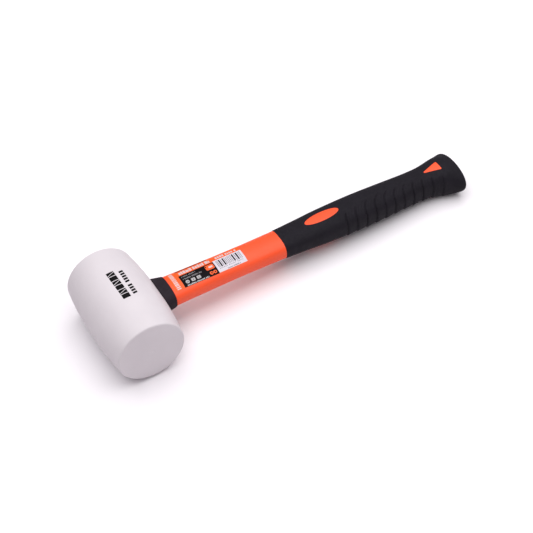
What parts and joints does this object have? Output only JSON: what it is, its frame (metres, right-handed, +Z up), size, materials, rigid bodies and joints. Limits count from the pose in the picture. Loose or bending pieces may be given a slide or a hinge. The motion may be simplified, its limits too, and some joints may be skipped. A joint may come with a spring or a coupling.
{
  "type": "rubber mallet",
  "caption": "Barrel-shaped white rubber mallet head on a flattened fibreglass handle with an orange jacket, black neck collar and windowed black grip.",
  "frame": {"origin": "on the surface the mallet lies on, under the middle of its bounding box", "axes": "+X from the head to the butt of the handle, level above the surface; +Y along the head, from the near striking face to the far one; +Z up, with the labelled wide face of the handle on top. The handle slopes down towards the butt by about 3.2 degrees, because the mallet lies on its barrel and its butt."},
  "size_m": [0.3306, 0.09, 0.06],
  "materials": {
    "white_rubber": "matt moulded white rubber",
    "epoxy": "cured amber potting",
    "fibreglass": "pultruded, fine lengthwise fibres",
    "orange_plastic": "satin moulded",
    "collar_rubber": "matt moulded",
    "grip_rubber": "matt moulded with raised scales",
    "label_film": "printed film"
  },
  "bodies": {
    "root": {"rubber_head": "white_rubber", "eye_adhesive": "epoxy", "fibreglass_core": "fibreglass", "handle_jacket": "orange_plastic", "neck_collar": "collar_rubber", "grip_sleeve": "grip_rubber", "handle_label": "label_film"}
  },
  "joints": []
}
